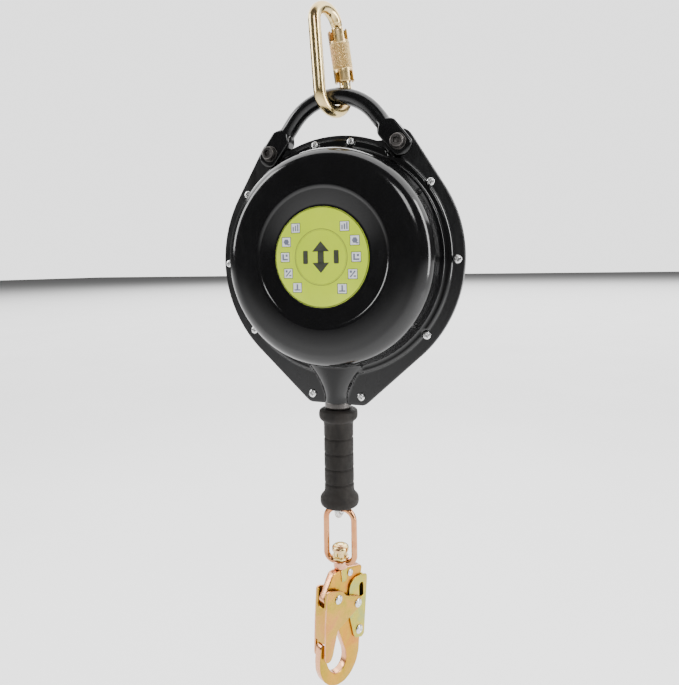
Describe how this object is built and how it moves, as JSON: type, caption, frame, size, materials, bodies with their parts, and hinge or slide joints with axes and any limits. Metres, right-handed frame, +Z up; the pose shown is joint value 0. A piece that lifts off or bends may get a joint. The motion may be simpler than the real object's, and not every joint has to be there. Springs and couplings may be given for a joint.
{
  "type": "self retracting lifeline",
  "caption": "Fall arrest block: a wire rope on a sprung drum with a locking brake in a round housing, hung from a carabiner, ending in a swivelling snap hook.",
  "frame": {"origin": "where the vertical load line meets the inside of the top bend of the carabiner", "axes": "+Z up against the load, -Y towards the labelled front of the housing, +X to the right seen from the front"},
  "size_m": [0.255, 0.084, 0.6735],
  "materials": {
    "plated_carabiner": "zinc plated, pale gold, satin",
    "yellow_zinc": "yellow zinc plated, iridescent",
    "copper_zinc": "zinc plated, copper tint",
    "bright_steel": "bright, ground",
    "black_enamel": "gloss enamel over pressed steel",
    "black_oxide": "black oxide",
    "galvanised_rope": "galvanised strands",
    "grip_rubber": "matt moulded",
    "gasket_rubber": "matt",
    "label_film": "satin printed film",
    "cast_aluminium": "as cast, machined faces",
    "bronze": "plain bearing",
    "nylon": "natural",
    "friction_lining": "pressed lining",
    "spring_steel": "blued",
    "machined_steel": "machined"
  },
  "bodies": {
    "carabiner": {"carabiner_body": "plated_carabiner"},
    "carabiner_gate": {"gate_bar": "plated_carabiner", "gate_pivot_pin": "bright_steel", "sleeve_spring": "spring_steel"},
    "gate_sleeve": {"twist_sleeve": "plated_carabiner"},
    "housing": {"bail_handle": "black_enamel", "bail_bolts": "black_oxide", "bail_washers": "black_oxide", "bail_nuts": "black_oxide", "front_cover": "black_enamel", "rear_cover": "black_enamel", "cover_gasket": "gasket_rubber", "cover_screws": "bright_steel", "cover_nuts": "bright_steel", "front_label": "label_film", "neck_collar": "black_oxide", "neck_bush": "nylon", "main_shaft": "machined_steel", "shaft_end_screws": "bright_steel", "spring_arbor": "machined_steel", "brake_hub": "machined_steel", "friction_washers": "friction_lining", "pressure_plate": "machined_steel", "brake_disc_spring": "spring_steel", "brake_nut": "machined_steel", "lifeline_run": "galvanised_rope"},
    "drum": {"drum_core": "cast_aluminium", "drum_front_flange": "cast_aluminium", "drum_rear_flange": "cast_aluminium", "drum_bushings": "bronze", "drum_screws": "bright_steel", "lifeline_coil": "galvanised_rope", "lifeline_anchor": "galvanised_rope", "power_spring": "spring_steel", "spring_case": "machined_steel", "spring_case_cover": "machined_steel", "pawl_pins": "bright_steel", "pawl_springs": "spring_steel"},
    "pawl_a": {"pawl_a": "machined_steel"},
    "pawl_b": {"pawl_b": "machined_steel"},
    "ratchet": {"ratchet_ring": "machined_steel"},
    "line_end": {"lifeline_tail": "galvanised_rope", "stop_sleeve": "bright_steel", "line_ferrule": "bright_steel", "lifeline_eye": "galvanised_rope", "eye_thimble": "bright_steel", "hand_grip": "grip_rubber"},
    "link": {"swivel_link": "copper_zinc"},
    "hook": {"swivel_nut": "yellow_zinc", "swivel_stem": "yellow_zinc", "hook_body": "yellow_zinc", "stem_rivet": "bright_steel", "gate_spring": "spring_steel", "lock_spring": "spring_steel", "lock_rivet": "bright_steel"},
    "hook_gate": {"hook_gate": "yellow_zinc", "gate_rivet": "bright_steel", "gate_studs": "bright_steel"},
    "hook_lock": {"lock_lever": "yellow_zinc"}
  },
  "joints": [
    {"name": "carabiner_gate_open", "type": "hinge", "parent": "carabiner", "child": "carabiner_gate", "pos_m": [0.00663, 0.01684, -0.05673], "axis": [0.9304, -0.3665, 0], "range_deg": [0, 15], "stiffness_Nm_per_rad": 0.6, "springref_deg": -20.05},
    {"name": "sleeve_twist", "type": "hinge", "parent": "carabiner_gate", "child": "gate_sleeve", "pos_m": [0.00663, 0.01684, -0.05673], "axis": [-0.0741, -0.1882, 0.9793], "range_deg": [0, 90], "stiffness_Nm_per_rad": 0.05, "springref_deg": -28.65},
    {"name": "housing_swing", "type": "hinge", "parent": "carabiner", "child": "housing", "pos_m": [0, 0, -0.072], "axis": [1, 0, 0], "range_deg": [-60, 60]},
    {"name": "line_payout", "type": "slide", "parent": "housing", "child": "line_end", "axis": [0, 0, -1], "range_m": [0, 20], "stiffness_N_per_m": 1, "springref_m": -20, "deforming": ["lifeline_tail"]},
    {"name": "drum_spin", "type": "hinge", "parent": "housing", "child": "drum", "pos_m": [0, 0, -0.233], "axis": [0, -1, 0], "continuous": true},
    {"name": "brake_slip", "type": "hinge", "parent": "housing", "child": "ratchet", "pos_m": [0, 0, -0.233], "axis": [0, -1, 0], "continuous": true},
    {"name": "pawl_a_engage", "type": "hinge", "parent": "drum", "child": "pawl_a", "pos_m": [0.072, -0.022, -0.233], "axis": [0, -1, 0], "range_deg": [0, 12], "stiffness_Nm_per_rad": 0.05, "springref_deg": -22.92},
    {"name": "pawl_b_engage", "type": "hinge", "parent": "drum", "child": "pawl_b", "pos_m": [-0.072, -0.022, -0.233], "axis": [0, -1, 0], "range_deg": [0, 12], "stiffness_Nm_per_rad": 0.05, "springref_deg": -22.92},
    {"name": "link_swing", "type": "hinge", "parent": "line_end", "child": "link", "pos_m": [0, 0, -0.48365], "axis": [1, 0, 0], "range_deg": [-60, 60]},
    {"name": "hook_swivel", "type": "hinge", "parent": "link", "child": "hook", "pos_m": [0, 0, -0.535], "axis": [0, 0, 1], "continuous": true},
    {"name": "hook_gate_open", "type": "hinge", "parent": "hook", "child": "hook_gate", "pos_m": [-0.005, -0.01002, -0.5666], "axis": [0.8949, -0.4462, 0], "range_deg": [0, 20], "stiffness_Nm_per_rad": 0.5, "springref_deg": -20.05},
    {"name": "hook_lock_press", "type": "hinge", "parent": "hook", "child": "hook_lock", "pos_m": [0.00803, 0.01611, -0.6096], "axis": [0.8949, -0.4462, 0], "range_deg": [0, 8], "stiffness_Nm_per_rad": 0.8, "springref_deg": -17.19}
  ],
  "couplings": [
    {"joint": "drum_spin", "follows": "line_payout", "rad_per_m": 14.765}
  ]
}
